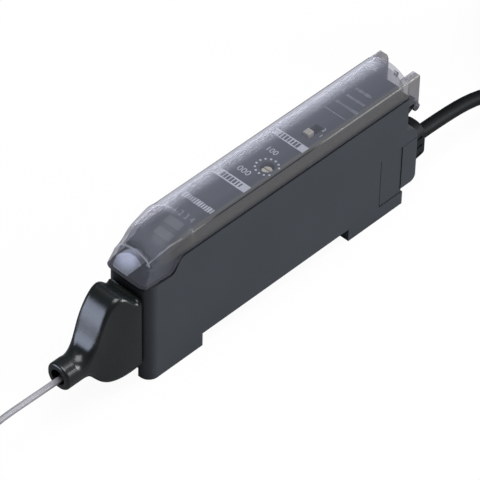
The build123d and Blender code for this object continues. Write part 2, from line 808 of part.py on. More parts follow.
def latch_spring():
    """Compression spring between the latch and the peg in its channel."""
    start = front_x + front_foot + notch_width + spring_from_notch + spring_wire / 2 + 0.02
    length = spring_length - spring_wire - 0.04
    axis_z = (latch_low_z + latch_high_z) / 2
    coil = Helix(pitch=length / spring_turns, height=length, radius=spring_radius)
    section = Plane(origin=coil @ 0, z_dir=coil % 0) * RegularPolygon(spring_wire / 2, 8)
    wire = sweep(section, path=coil)
    return Pos(start, 0, axis_z) * Rot(0, 90, 0) * wire


def cord_tube(points, diameter):
    """A plain tube along straight runs joined by tangent arcs, as large as the runs allow."""
    corners = [Vector(*point) for point in points]
    radii = []
    for before, corner, after in zip(corners, corners[1:], corners[2:]):
        run_in, run_out = corner - before, after - corner
        half_turn = radians(run_in.get_angle(run_out)) / 2
        radii.append(0.45 * min(run_in.length, run_out.length) / tan(half_turn))
    path = FilletPolyline(*corners, radius=radii)
    tube = sweep(Plane(origin=path @ 0, z_dir=path % 0) * Circle(diameter / 2), path=path)
    expected = pi * (diameter / 2) ** 2 * path.length
    print("cord radii", [round(radius, 1) for radius in radii], "length", round(path.length, 1),
          "volume share", round(tube.volume / expected, 4))
    return tube


def coil_ring(x, y, radius, columns, layers, diameter):
    """The outer shape of a neat coil that lies on the floor."""
    reach = columns * diameter / 2
    height = layers * diameter
    ring = Pos(x, y, height / 2) * (Cylinder(radius + reach, height) - Cylinder(radius - reach, height))
    return fillet(ring.edges().filter_by(GeomType.CIRCLE), diameter * 0.4)


def sensor_coil_y():
    """Y of the middle of the sensor lead's coil."""
    return sensor_coil_entry_y + outer_turn(sensor_coil_radius, sensor_coil_columns, sensor_diameter)


def outer_turn(radius, columns, diameter):
    """Radius of the outermost turn of a coil."""
    return radius + (columns - 1) * diameter / 2


def tail_x():
    """X of the sensor lead's end, which leaves the outermost turn on the side of the case."""
    return sensor_coil_x + outer_turn(sensor_coil_radius, sensor_coil_columns, sensor_diameter)


def sensor_cable():
    start = front_x - nose_reach + nose_bore_depth
    top = (sensor_coil_layers - 0.5) * sensor_diameter
    return cord_tube([(start, 0, 8.35), (-48.0, 0, 8.58), (-57.0, 0, 8.78), (-66.0, -1.5, 8.55),
                      (sensor_coil_x, sensor_coil_entry_y, top)], sensor_diameter)


def sensor_cable_tail():
    """The short end of the sensor lead, from the coil along the floor up to the head."""
    x = tail_x()
    return cord_tube([(x, 8.2, 0.55), (x + 0.05, 5.6, 0.56), (x + 0.1, 3.4, 1.4),
                      (x + 0.15, 1.2, head_radius), (x + 0.15, head_start_y, head_radius)], sensor_diameter)


def sensor_head_barrel():
    """Plain steel sleeve of the sensor head, with a small collar where the lead enters."""
    x = tail_x() + 0.15
    start = head_start_y
    barrel = rod((x, start, head_radius), (x, start - head_length + head_face, head_radius), head_radius)
    return fillet(barrel.edges().filter_by(GeomType.CIRCLE).sort_by(Axis.Y)[-1], 0.4)


def sensor_head_face():
    """Moulded sensing face in the end of the sleeve."""
    x = tail_x() + 0.15
    start = head_start_y - head_length + head_face
    face = rod((x, start, head_radius), (x, start - head_face, head_radius), head_radius - 0.25)
    return fillet(face.edges().filter_by(GeomType.CIRCLE).sort_by(Axis.Y)[0], 0.3)


def output_cable():
    return cord_tube([(rear_x + bush_reach, 0, output_z), (50.0, 0, output_z), (58.0, -0.35, 6.7),
                      (64.5, -1.9, 5.4), (69.6, -5.3, 3.4), (74.0, -9.8, 1.8), (79.0, -13.7, 1.3),
                      (84.8, -15.65, 1.3)], output_diameter)


def coil_top():
    """Height of the top of the output lead's coil."""
    return output_coil_layers * output_diameter


def output_cable_coil():
    """Coil of the output lead, with the end of the lead lying on top of it."""
    ring = coil_ring(output_coil_x, 0, output_coil_radius, output_coil_columns, output_coil_layers,
                     output_diameter)
    z = coil_top() + output_diameter / 2 - 0.05
    return ring + rod((output_coil_x + output_tail_start, output_tail_y, z),
                      (output_coil_x + output_tail_end, output_tail_y, z), output_diameter / 2)


def end_core(side, lift):
    """One insulated core that leaves the end of the output lead and lies down on the coil."""
    x = output_coil_x + output_tail_end
    y = output_tail_y
    z = coil_top() + output_diameter / 2
    floor = coil_top() + core_diameter / 2 + 0.02
    return cord_tube([(x, y + 0.46 * side, z + lift), (x - 2.2, y + 0.6 * side, z + lift - 0.3),
                      (x - 4.4, y + 1.2 * side, floor + 0.1), (x - 7.4, y + 2.1 * side, floor)],
                     core_diameter)


def core_tips():
    """The tinned strands at the ends of the three cores."""
    x = output_coil_x + output_tail_end - 7.4
    floor = coil_top() + core_diameter / 2 + 0.02
    return [rod((x, output_tail_y + 2.1 * side, floor),
                (x - 2.5, output_tail_y + 2.7 * side, floor), 0.25) for side in (-1, 0, 1)]


def inner_core(y, z, board_z):
    """One core inside the case, from the bush to the main board."""
    x = rear_x + lobe_reach - wall - 0.9
    return cord_tube([(x, y, output_z + z), (x - 3.0, y, output_z + z + 0.01), (x - 6.5, 1.2, board_z),
                      (x - 9.5, main_board_y - core_diameter / 2, board_z + 0.1)], core_diameter)


def sensor_lead():
    """The lead inside the case, from the boot to the main board."""
    x = front_x + end_wall + boot_fit + boot_flange
    return cord_tube([(x, 0, nose_z), (x + 2.2, 0, nose_z + 0.01), (x + 4.6, 1.1, nose_z + 0.2),
                      (x + 7.0, main_board_y - sensor_diameter / 2, nose_z + 0.2)], sensor_diameter)


def guide_lamps():
    """The two lamps: one on the board's top for the milky lens, one below for the dark lens."""
    return {"operation_led": led(white_guide_y, board_ledge_z + board),
            "stability_led": led(dark_guide_y, board_ledge_z - lamp_height)}


def all_parts():
    parts = {
        "housing_shell": housing_shell(),
        "rear_cap": rear_cap(),
        "control_panel": control_panel(),
        "dust_cover": dust_cover(),
        "sensitivity_dial": sensitivity_dial(),
        "potentiometer_body": potentiometer_body(),
        "mode_switch_body": mode_switch_body(),
        "mode_switch_knob": mode_switch_knob(),
        "indicator_lens": indicator_lens(),
        "stability_lens": stability_lens(),
        "control_board": control_board(),
        "main_board": main_board(),
        "board_pins": board_pins(),
        "control_chip": chip(front_x + chip_from_front, chip_z, 5.0, 4.0, 1.3, 7),
        "voltage_regulator": chip(front_x + regulator_from_front, regulator_z, 3.0, 1.6, 1.1, 3),
        "output_transistor": chip(front_x + transistor_from_front, transistor_z, 3.0, 1.6, 1.1, 3),
        "smoothing_capacitor": smoothing_capacitor(),
        "sensor_lead": sensor_lead(),
        "inner_core_brown": inner_core(0.9, 0.8, 12.0),
        "inner_core_blue": inner_core(-0.9, 0.3, 9.4),
        "inner_core_black": inner_core(0.3, -0.9, 6.6),
        "sensor_boot": sensor_boot(),
        "sensor_cable": sensor_cable(),
        "sensor_cable_coil": coil_ring(sensor_coil_x, sensor_coil_y(), sensor_coil_radius,
                                       sensor_coil_columns, sensor_coil_layers, sensor_diameter),
        "sensor_cable_tail": sensor_cable_tail(),
        "sensor_head_barrel": sensor_head_barrel(),
        "sensor_head_face": sensor_head_face(),
        "output_bush": output_bush(),
        "output_cable": output_cable(),
        "output_cable_coil": output_cable_coil(),
        "end_core_brown": end_core(-1, -0.26),
        "end_core_blue": end_core(0, 0.54),
        "end_core_black": end_core(1, -0.26),
        "core_tips": core_tips(),
        "rail_latch": rail_latch(),
        "latch_spring": latch_spring(),
    }
    parts.update(guide_lamps())
    return parts


def solid_parts(shape):
    """All solids of a shape, or of a list of shapes, as one compound."""
    pieces = shape if isinstance(shape, list) else [shape]
    solids = [solid for piece in pieces for solid in piece.solids()]
    return solids[0] if len(solids) == 1 else Compound(children=solids)


os.makedirs("parts", exist_ok=True)
for name, shape in all_parts().items():
    part = solid_parts(shape)
    export_step(part, "parts/" + name + ".step")
    print(name, len(part.solids()), round(part.volume, 2))
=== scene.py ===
"""Looks of the slim sensor amplifier: finishes, panel print, lead routes, lamps and camera."""

import json
import math

import bmesh
import bpy
from mathutils import Matrix, Vector
from mathutils.bvhtree import BVHTree


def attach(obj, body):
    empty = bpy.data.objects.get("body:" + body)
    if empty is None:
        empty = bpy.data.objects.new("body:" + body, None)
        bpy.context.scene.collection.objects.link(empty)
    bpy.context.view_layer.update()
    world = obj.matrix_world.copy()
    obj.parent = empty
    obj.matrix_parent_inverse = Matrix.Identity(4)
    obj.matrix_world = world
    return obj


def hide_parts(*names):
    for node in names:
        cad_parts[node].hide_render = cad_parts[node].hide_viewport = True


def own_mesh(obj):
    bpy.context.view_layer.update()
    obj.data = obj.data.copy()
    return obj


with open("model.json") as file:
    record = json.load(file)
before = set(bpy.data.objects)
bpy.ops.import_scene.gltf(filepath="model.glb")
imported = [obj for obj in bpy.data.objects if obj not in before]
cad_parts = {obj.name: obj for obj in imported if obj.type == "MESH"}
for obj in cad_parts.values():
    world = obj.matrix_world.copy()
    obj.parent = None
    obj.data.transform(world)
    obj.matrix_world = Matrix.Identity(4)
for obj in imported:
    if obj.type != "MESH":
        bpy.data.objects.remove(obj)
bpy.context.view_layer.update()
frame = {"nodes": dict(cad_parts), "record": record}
node = frame["nodes"]

# Lengths are in metres, apart from those that a comment gives in millimetres.
MM = 0.001


# Camera, as the photo was taken: a long lens from the front left, above the part.

CAMERA_PLACE = (-0.345186, -0.323206, 0.461160)
CAMERA_RIGHT = (0.6960442, -0.7177826, 0.0176226)
CAMERA_UP = (0.4861018, 0.4891594, 0.7241741)
CAMERA_BACK = (-0.5284198, -0.4954908, 0.689392)
FOCAL_LENGTH = 293.7
SENSOR_WIDTH = 36
CLIP_NEAR, CLIP_FAR = 0.05, 20


def place_camera():
    lens = bpy.data.cameras.new("photo_camera")
    lens.lens = FOCAL_LENGTH
    lens.sensor_width = SENSOR_WIDTH
    lens.clip_start = CLIP_NEAR
    lens.clip_end = CLIP_FAR
    turn = Matrix((CAMERA_RIGHT, CAMERA_UP, CAMERA_BACK)).transposed().to_4x4()
    camera = bpy.data.objects.new("photo_camera", lens)
    camera.matrix_world = Matrix.Translation(CAMERA_PLACE) @ turn
    bpy.context.scene.collection.objects.link(camera)
    bpy.context.scene.camera = camera


# Node trees.


def add_node(tree, kind, values=None, **settings):
    """Adds a node. Each input takes a plain value, or the output of another node."""
    made = tree.nodes.new(kind)
    for name, value in settings.items():
        setattr(made, name, value)
    for socket, value in (values or {}).items():
        if isinstance(value, bpy.types.NodeSocket):
            tree.links.new(value, made.inputs[socket])
        else:
            made.inputs[socket].default_value = value
    return made


class Finish:
    """One material being built. Most methods add a node or two and give back what comes out."""

    def __init__(self, name):
        self.material = bpy.data.materials.new(name)
        self.material.use_nodes = True
        self.tree = self.material.node_tree
        self.tree.nodes.clear()

    def add(self, kind, values=None, **settings):
        return add_node(self.tree, kind, values, **settings)

    def maths(self, operation, *values, clamp=False):
        inputs = dict(enumerate(values))
        return self.add("ShaderNodeMath", inputs, operation=operation, use_clamp=clamp).outputs["Value"]

    def span(self, value, start, end, first=0.0, last=1.0, smooth=False):
        """Goes from first to last as value goes from start to end, and holds them beyond."""
        return self.add(
            "ShaderNodeMapRange",
            {"Value": value, "From Min": start, "From Max": end, "To Min": first, "To Max": last},
            interpolation_type="SMOOTHSTEP" if smooth else "LINEAR",
        ).outputs["Result"]

    def between(self, amount, low, high):
        """Goes from low to high as amount goes from 0 to 1."""
        return self.span(amount, 0.0, 1.0, low, high)

    def mixed(self, amount, first, second, kind="RGBA"):
        """Goes from the first colour or value to the second as amount goes from 0 to 1."""
        return self.add(
            "ShaderNodeMix", {"Factor": amount, "A": first, "B": second}, data_type=kind
        ).outputs["Result"]

    def tone(self, amount, dark, light):
        """A colour between two plain ones."""
        return self.mixed(amount, (*dark, 1), (*light, 1))

    def place(self):
        """The point being shaded, in object space."""
        return self.add("ShaderNodeTexCoord").outputs["Object"]

    def grain(self, size, detail=2.0, roughness=0.5, stretch=(1, 1, 1)):
        """Noise in object space, by the size of its grain."""
        fitted = self.add("ShaderNodeMapping", {"Vector": self.place(), "Scale": stretch})
        return self.add(
            "ShaderNodeTexNoise",
            {
                "Vector": fitted.outputs["Vector"],
                "Scale": 1 / size,
                "Detail": detail,
                "Roughness": roughness,
            },
        ).outputs["Fac"]

    def bump(self, height, depth, strength=1.0):
        return self.add(
            "ShaderNodeBump", {"Height": height, "Distance": depth, "Strength": strength}
        ).outputs["Normal"]

    def skin(self, values):
        """A Principled surface with these inputs."""
        return self.add("ShaderNodeBsdfPrincipled", values).outputs["BSDF"]

    def layered(self, share, first, second):
        """The second surface over the first, as far as share lets it."""
        return self.add("ShaderNodeMixShader", {0: share, 1: first, 2: second}).outputs["Shader"]

    def done(self, surface):
        self.add("ShaderNodeOutputMaterial", {"Surface": surface})
        return self.material


# Plain finishes. Dark and light are the ends of the colour's range, and rough those of the roughness.

MOULD_TONE_SIZE = 0.012
MOULD_GRAIN_DEPTH = 0.000006
FINE_DEPTH = 0.000004
DRAW_MARK_DEPTH = 0.000012
PEEL_DEPTH = 0.00001
BRUSH_SIZE = 0.0004
TRACKS_PER_METRE = 380
TRACK_DEPTH = 0.00002


def moulded(name, dark, light, rough=(0.42, 0.55), grain=0.00012, specular=0.5):
    """A moulded plastic: fine spark-eroded grain, with slow changes of tone and gloss."""
    made = Finish(name)
    slow = made.grain(MOULD_TONE_SIZE, 3)
    fine = made.grain(grain, 2, 0.6)
    skin = made.skin(
        {
            "Base Color": made.tone(slow, dark, light),
            "Roughness": made.between(slow, *rough),
            "Normal": made.bump(fine, MOULD_GRAIN_DEPTH),
            "Specular IOR Level": specular,
        }
    )
    return made.done(skin)


def cream_moulding():
    made = Finish("cream_moulding")
    slow = made.grain(0.0012, 2)
    skin = made.skin(
        {
            "Base Color": made.tone(slow, (0.60, 0.56, 0.45), (0.76, 0.73, 0.62)),
            "Roughness": made.between(slow, 0.35, 0.5),
            "Normal": made.bump(made.grain(0.0001, 2), FINE_DEPTH),
            "Subsurface Weight": 0.1,
            "Subsurface Scale": 0.0008,
        }
    )
    return made.done(skin)


def glossy_rubber():
    """Polished black rubber with a faint orange-peel surface."""
    made = Finish("glossy_rubber")
    slow = made.grain(0.004, 2)
    peel = made.grain(0.0009, 2)
    skin = made.skin(
        {
            "Base Color": made.tone(slow, (0.010, 0.012, 0.013), (0.015, 0.018, 0.019)),
            "Roughness": made.between(peel, 0.22, 0.3),
            "Normal": made.bump(peel, PEEL_DEPTH, 0.5),
            "Specular IOR Level": 0.5,
        }
    )
    return made.done(skin)


def lead_jacket(name, dark, light, rough, see_through=0.0, grain=0.0007, stretch=(1, 1, 1), specular=0.5):
    """Extruded jacket: faint draw marks and a soft sheen."""
    made = Finish(name)
    marks = made.grain(grain, 3, 0.6, stretch)
    skin = made.skin(
        {
            "Base Color": made.tone(marks, dark, light),
            "Roughness": made.between(marks, *rough),
            "Normal": made.bump(marks, DRAW_MARK_DEPTH),
            "Subsurface Weight": see_through,
            "Subsurface Scale": 0.0005,
            "Specular IOR Level": specular,
        }
    )
    return made.done(skin)


def metal(name, dark, light, rough, stretch=(1, 1, 1)):
    """Finely brushed metal."""
    made = Finish(name)
    brush = made.grain(BRUSH_SIZE, 3, 0.6, stretch)
    skin = made.skin(
        {
            "Base Color": made.tone(brush, dark, light),
            "Metallic": 1.0,
            "Roughness": made.between(brush, *rough),
            "Normal": made.bump(brush, FINE_DEPTH),
        }
    )
    return made.done(skin)


def circuit_board():
    """Green lacquer over faint copper tracks."""
    made = Finish("circuit_board")
    tracks = made.add(
        "ShaderNodeTexBrick",
        {
            "Vector": made.place(),
            "Scale": TRACKS_PER_METRE,
            "Mortar Size": 0.06,
            "Color1": (0, 0, 0, 1),
            "Color2": (0.15, 0.15, 0.15, 1),
            "Mortar": (1, 1, 1, 1),
        },
    )
    grain = made.grain(0.0006, 2)
    lacquer = made.tone(grain, (0.010, 0.07, 0.035), (0.016, 0.10, 0.05))
    skin = made.skin(
        {
            "Base Color": made.mixed(tracks.outputs["Color"], lacquer, (0.03, 0.17, 0.08, 1)),
            "Roughness": made.between(grain, 0.25, 0.4),
            "Normal": made.bump(tracks.outputs["Fac"], TRACK_DEPTH),
        }
    )
    return made.done(skin)


def print_ink(name, worn_tone, full_tone):
    """Screen print, a little worn."""
    made = Finish(name)
    worn = made.grain(0.0005, 3, 0.7)
    skin = made.skin(
        {
            "Base Color": made.tone(worn, worn_tone, full_tone),
            "Roughness": made.between(worn, 0.5, 0.7),
            "Normal": made.bump(worn, FINE_DEPTH),
        }
    )
    return made.done(skin)


# The milky lens, with a lamp below it. Its glow and its dim near side are painted glow and painted shade.

LENS_PAINTED_GLOW_CENTRE = (-0.0255, 0.0017, 0.0237)
LENS_GLOW = (0.0009, 0.0031)  # From the glow's centre to where the painted glow has faded out.
# Painted shade on the lens's near side.
LENS_PAINTED_SHADE = (0.07, 0.075, 0.09, 1)


def milky_lens():
    """A painted glow, brightest over its lamp, and painted shade towards its near side."""
    made = Finish("milky_lens")
    cloud = made.grain(0.0022, 3)
    apart = made.add("ShaderNodeVectorMath", {0: made.place(), 1: LENS_PAINTED_GLOW_CENTRE}, operation="DISTANCE")
    lit = made.span(apart.outputs["Value"], *LENS_GLOW, 1.0, 0.0, smooth=True)
    milk = made.tone(cloud, (0.62, 0.66, 0.78), (0.86, 0.90, 1.0))
    skin = made.skin(
        {
            # Painted light: the base colour goes from painted shade to the bright milk round the glow's
            # centre.
            "Base Color": made.mixed(lit, LENS_PAINTED_SHADE, milk),
            "Roughness": made.between(cloud, 0.22, 0.38),
            "Subsurface Weight": 0.3,
            "Subsurface Scale": 0.0015,
            "Coat Weight": 0.4,
            "Coat Roughness": 0.1,
        }
    )
    return made.done(skin)


# The smoked cover. Its finish, with its painted glints, sheen and shade, changes along X, from the nose to
# the arms, and with side and height.

RIDGE_STRETCH = (-0.0285, -0.0163)  # Where the two long ridges draw in towards the nose.
RIDGE_STOPS = (  # Share of that stretch, then the ridge's side and height in millimetres.
    (0.0, 3.0, 24.2),
    (0.254, 3.1, 24.8),
    (0.426, 3.75, 26.15),
    (0.59, 4.05, 26.8),
    (0.754, 4.35, 27.0),
    (1.0, 4.5, 27.0),
)
RAMP_SPAN = 30  # Millimetres that the ramp of those stops writes as 1.
RIDGE_EDGE = (0.00008, 0.00026)  # From a ridge to where it has faded out.
BROW_PLACE = -0.02498  # The fold across the front of the crown, on the middle line.
BROW_BOW = 30.0  # How fast it bows towards the nose, by the square of the side.
BROW_EDGE = (0.00003, 0.00015)
BROW_FOOT = 0.0245
GLINT_ENDS = (0.010, 0.017)  # From the middle: where the ridges start to glint, and where they do in full.
GLINT = 0.75
CROWN_SIDE = (0.0039, 0.0043)  # The crown ends and the side wall starts.
FROST_FOOT = (0.0242, 0.0245)
SIDE_FROST = 0.09
DIP_STRETCH = (-0.0220, -0.0186)  # Where the lower edge rises out of the dip at the front.
DIP_HEIGHTS = (0.02125, 0.0239)
SEAM_SHADE_BAND = 0.00013  # Height of the band of painted shade on the lower edge.
OUTER_SIDE = 0.0047
FOOT_TOP = 0.0243  # The feet of the walls are all below this.
FACING_DOWN = -0.6
ARM_START = 0.0351  # The arms are behind this.
ARM_FOOT = 0.0212  # Only the arms reach below this.
SOLID_TINT = 0.42
SLANT_TINT = 0.7
# The tint along a ridge is painted shade, a dark line.
RIDGE_PAINTED_SHADE = 0.9
THIN_TINT = ((0.895, 0.90, 0.92), (0.93, 0.935, 0.955))
# Deep tint, which also paints the dark outline along the ridges and edges.
DEEP_TINT_AND_OUTLINE_SHADE = (0.28, 0.265, 0.28, 1)
EDGE_ON = (0.76, 0.84)  # Facing at which a wall is seen edge on, and painted a dark outline.
NOSE_HAZE = (-0.0245, -0.0205, 0.14, 0.065)  # Two places along X, then the haze at each, a painted sheen on the nose.
# The haze at a grazing angle, partly a painted sheen.
GRAZING_HAZE_AND_SHEEN = 0.85
GRAZING_POWER = 3.0
LINE_HAZE = 0.1  # Share of the haze that a ridge or an edge keeps, so that it shows as a painted dark line.


class CoverFinish(Finish):
    """The smoked cover's finish, with the places on the cover that it depends on."""

    def __init__(self, name):
        super().__init__(name)
        coordinates = self.add("ShaderNodeTexCoord")
        place = self.add("ShaderNodeSeparateXYZ", {"Vector": coordinates.outputs["Object"]})
        normal = self.add("ShaderNodeSeparateXYZ", {"Vector": coordinates.outputs["Normal"]})
        self.along = place.outputs["X"]
        self.across = place.outputs["Y"]
        self.height = place.outputs["Z"]
        self.side = self.maths("ABSOLUTE", self.across)
        self.upward = normal.outputs["Z"]

    def ridge_line(self):
        """How near a point is to one of the two long ridges."""
        ridge = self.add("ShaderNodeValToRGB", {"Fac": self.span(self.along, *RIDGE_STRETCH)})
        stops = ridge.color_ramp.elements
        while len(stops) < len(RIDGE_STOPS):
            stops.new(0.5)
        for stop, (share, side, height) in zip(stops, RIDGE_STOPS):
            stop.position = share
            stop.color = (side / RAMP_SPAN, height / RAMP_SPAN, 0, 1)
        here = self.add("ShaderNodeCombineXYZ", {"X": self.side, "Y": self.height})
        there = self.add(
            "ShaderNodeVectorMath",
            {0: ridge.outputs["Color"], "Scale": RAMP_SPAN * MM},
            operation="SCALE",
        )
        apart = self.add(
            "ShaderNodeVectorMath",
            {0: here.outputs["Vector"], 1: there.outputs["Vector"]},
            operation="DISTANCE",
        )
        return self.span(apart.outputs["Value"], *RIDGE_EDGE, 1.0, 0.0, smooth=True)

    def brow_line(self):
        """How near a point is to the bowed fold across the front of the crown."""
        bow = self.maths("MULTIPLY", self.across, self.across)
        fold = self.maths("MULTIPLY_ADD", bow, BROW_BOW, self.along)
        apart = self.maths("ABSOLUTE", self.maths("SUBTRACT", fold, BROW_PLACE))
        near = self.span(apart, *BROW_EDGE, 1.0, 0.0)
        return self.maths("MULTIPLY", near, self.maths("GREATER_THAN", self.height, BROW_FOOT))

    def line_glint(self, ridge):
        """Painted glint: the ridges are painted light towards both ends of the cover, and so is the fold."""
        ends = self.span(self.maths("ABSOLUTE", self.along), *GLINT_ENDS, 0.0, GLINT, smooth=True)
        patchy = self.between(self.grain(0.02, 2, 0.5, (1, 0.02, 0.02)), 0.5, 1.0)
        on_ridge = self.maths("MULTIPLY", ridge, self.maths("MULTIPLY", ends, patchy))
        return self.maths("MAXIMUM", on_ridge, self.between(self.brow_line(), 0.0, GLINT))

    def side_frost(self):
        """The long side walls are slightly frosted, and the crown between them is clear."""
        outside = self.span(self.side, *CROWN_SIDE, 0.0, SIDE_FROST, smooth=True)
        return self.maths("MULTIPLY", outside, self.span(self.height, *FROST_FOOT))

    def lower_edge_shade(self):
        """Painted shade: one on the cover's lower edge and its downward faces, where the seam with the
        housing is painted near black.
        """
        heights = [height + SEAM_SHADE_BAND for height in DIP_HEIGHTS]
        edge = self.span(self.along, *DIP_STRETCH, *heights, smooth=True)
        lowest = self.maths("LESS_THAN", self.height, edge)
        band = self.maths("MULTIPLY", lowest, self.maths("GREATER_THAN", self.side, OUTER_SIDE))
        outward = self.between(self.add("ShaderNodeNewGeometry").outputs["Backfacing"], 1.0, -1.0)
        under = self.maths("LESS_THAN", self.maths("MULTIPLY", self.upward, outward), FACING_DOWN)
        foot = self.maths("MULTIPLY", under, self.maths("LESS_THAN", self.height, FOOT_TOP))
        return self.maths("MAXIMUM", foot, band)


def smoked_cover():
    """Smoked clear moulding: each wall has two faces, and each face takes its share of the tint."""
    made = CoverFinish("smoked_cover")
    slow = made.grain(0.009, 2)
    haze = made.grain(0.0016, 3, 0.6)
    facing = made.add("ShaderNodeLayerWeight", {"Blend": 0.5}).outputs["Facing"]
    outline_shade = made.span(facing, *EDGE_ON)
    ridge = made.ridge_line()
    frost = made.side_frost()

    # The tint is deeper in the solid arms and in a wall that slants away. Along a ridge, and where a wall is
    # seen edge on, the deep tint is painted shade: a dark outline.
    behind = made.maths("GREATER_THAN", made.along, ARM_START)
    below = made.maths("LESS_THAN", made.height, ARM_FOOT)
    solid = made.maths("ADD", behind, below)
    depth = made.maths("MULTIPLY_ADD", solid, SOLID_TINT, made.between(facing, 0.0, SLANT_TINT))
    line = made.maths("MAXIMUM", made.between(ridge, 0.0, RIDGE_PAINTED_SHADE), outline_shade)
    tint = made.mixed(made.maths("MAXIMUM", line, depth), made.tone(slow, *THIN_TINT), DEEP_TINT_AND_OUTLINE_SHADE)
    clear = made.add("ShaderNodeBsdfTransparent", {"Color": tint}).outputs["BSDF"]

    # The skin is a haze of real gloss and painted sheen, bluish on the crown as a painted reflection: more of
    # it at a grazing angle and on the nose, little on a line.
    on_wall = made.between(frost, 0.0, 1.0 / SIDE_FROST)
    skin = made.skin(
        {
            "Base Color": made.tone(on_wall, (0.43, 0.45, 0.54), (0.37, 0.37, 0.365)),
            "Roughness": made.between(haze, 0.14, 0.24),
            "Normal": made.bump(slow, 0.00002, 0.5),
            "IOR": 1.5,
        }
    )
    grazing = made.maths("POWER", facing, GRAZING_POWER)
    share = made.mixed(grazing, made.span(made.along, *NOSE_HAZE), GRAZING_HAZE_AND_SHEEN, kind="FLOAT")
    kept = made.maths("MULTIPLY", share, made.between(outline_shade, 1.0, LINE_HAZE))
    hazed = made.maths("ADD", kept, frost)
    lined = made.maths("MULTIPLY", hazed, made.between(ridge, 1.0, LINE_HAZE))
    lit = made.maths("ADD", lined, made.line_glint(ridge), clamp=True)
    walls = made.layered(lit, clear, skin)

    # Painted shade: the cover's lower edge and the seam below it are painted near black.
    dark = made.skin({"Base Color": (0.004, 0.004, 0.005, 1), "Roughness": 0.5, "Specular IOR Level": 0.1})
    return made.done(made.layered(made.lower_edge_shade(), walls, dark))


def finishes():
    """Every finish of the part, by the record's material slot."""
    return {
        "housing": moulded("charcoal_moulding", (0.050, 0.058, 0.070), (0.066, 0.076, 0.091), specular=0.4),
        "panel": moulded("panel_moulding", (0.060, 0.065, 0.076), (0.080, 0.086, 0.100), (0.4, 0.5)),
        "cover": smoked_cover(),
        "cream": cream_moulding(),
        "inner_plastic": moulded("black_moulding", (0.018, 0.018, 0.02), (0.03, 0.03, 0.033)),
        "milky_lens": milky_lens(),
        "dark_lens": moulded(
            "dark_lens", (0.010, 0.012, 0.016), (0.018, 0.020, 0.026), (0.3, 0.4), 0.0008, specular=0.12
        ),
        "lamp": moulded("lamp_body", (0.62, 0.60, 0.50), (0.74, 0.72, 0.62), (0.2, 0.3), 0.0005),
        "board": circuit_board(),
        "tinned": metal("tinned_metal", (0.60, 0.60, 0.58), (0.74, 0.74, 0.72), (0.25, 0.4)),
        "chip": moulded("chip_package", (0.016, 0.016, 0.018), (0.028, 0.028, 0.03), (0.5, 0.65), 0.00008),
        "can": metal("bright_can", (0.70, 0.71, 0.73), (0.82, 0.83, 0.85), (0.2, 0.35)),
        "grey_jacket": lead_jacket(
            "grey_jacket", (0.13, 0.13, 0.15), (0.50, 0.50, 0.55), (0.2, 0.32), 0.1, 0.00045, (0.05, 1, 1)
        ),
        "brown": lead_jacket("brown_core", (0.13, 0.045, 0.016), (0.19, 0.065, 0.024), (0.3, 0.42)),
        "blue": lead_jacket("blue_core", (0.012, 0.055, 0.28), (0.02, 0.08, 0.38), (0.3, 0.42)),
        "black": lead_jacket("black_core", (0.010, 0.010, 0.011), (0.018, 0.018, 0.02), (0.3, 0.42)),
        "boot": glossy_rubber(),
        "steel": metal("turned_steel", (0.48, 0.48, 0.48), (0.66, 0.66, 0.66), (0.22, 0.38), (1, 30, 1)),
        "face": moulded("sensing_face", (0.016, 0.017, 0.018), (0.026, 0.027, 0.029), (0.4, 0.5)),
        "jacket": lead_jacket(
            "dull_black_jacket", (0.008, 0.010, 0.012), (0.014, 0.017, 0.020), (0.5, 0.62), specular=0.2
        ),
        "latch": moulded("black_acetal", (0.018, 0.019, 0.021), (0.028, 0.029, 0.032), (0.3, 0.42)),
    }


def dress_nodes(finish):
    """Each CAD node gets the finish that the record's slot names."""
    for part in frame["record"]["subparts"]:
        mesh = node[part["node"]].data
        mesh.materials.clear()
        mesh.materials.append(finish[part["material_slot"]])


# The two leads. Their points repeat the routes of the CAD tubes and coils.

TURN_STEPS = 16
EASE_STEPS = 4  # Steps at the end of a turn in which it eases into the next.
TURN_SWELL = 1.0195  # The smooth line runs a little inside its points, so they stand out by this.
LAST_TURN = 0.75  # Share of the last turn that is wound.

SENSOR_LEAD_WIDTH = 0.0011
SENSOR_RUN = [(-0.0379, 0, 0.00835), (-0.048, 0, 0.00858), (-0.057, 0, 0.00878), (-0.066, -0.0015, 0.00855)]
SENSOR_COIL = (-0.076, 0.00705)
SENSOR_TAIL = [
    (-0.06675, 0.0082, 0.00055),
    (-0.0667, 0.0056, 0.00056),
    (-0.06665, 0.0034, 0.0014),
    (-0.0666, 0.0012, 0.0027),
    (-0.0666, -0.00085, 0.0027),
]

OUTPUT_LEAD_WIDTH = 0.0026
OUTPUT_RUN = [
    (0.0427, 0, 0.0071),
    (0.05, 0, 0.0071),
    (0.058, -0.00035, 0.0067),
    (0.0645, -0.0019, 0.0054),
    (0.0696, -0.0053, 0.0034),
    (0.074, -0.0098, 0.0018),
    (0.079, -0.0137, 0.0013),
    (0.0848, -0.01565, 0.0013),
]
OUTPUT_COIL = (0.0882, 0)
OUTPUT_CLIMB = (  # Onto the top of the coil: degrees round it, radius and height in millimetres.
    (182, 15.8, 19.55),
    (205, 15.8, 20.1),
    (228, 15.7, 21.3),
    (250, 15.6, 22.1),
    (273, 15.5, 22.15),
    (296, 15.3, 22.15),
    (319, 14.9, 22.15),
    (342, 14.4, 22.15),
    (365, 13.9, 22.15),
    (388, 13.5, 22.1),
)
OUTPUT_END = [(0.0962, 0.0101, 0.02205), (0.0916, 0.0115, 0.02205), (0.0897, 0.0115, 0.02205)]


def round_centre(centre, angle, reach, height):
    return (centre[0] + reach * math.cos(angle), centre[1] + reach * math.sin(angle), height)


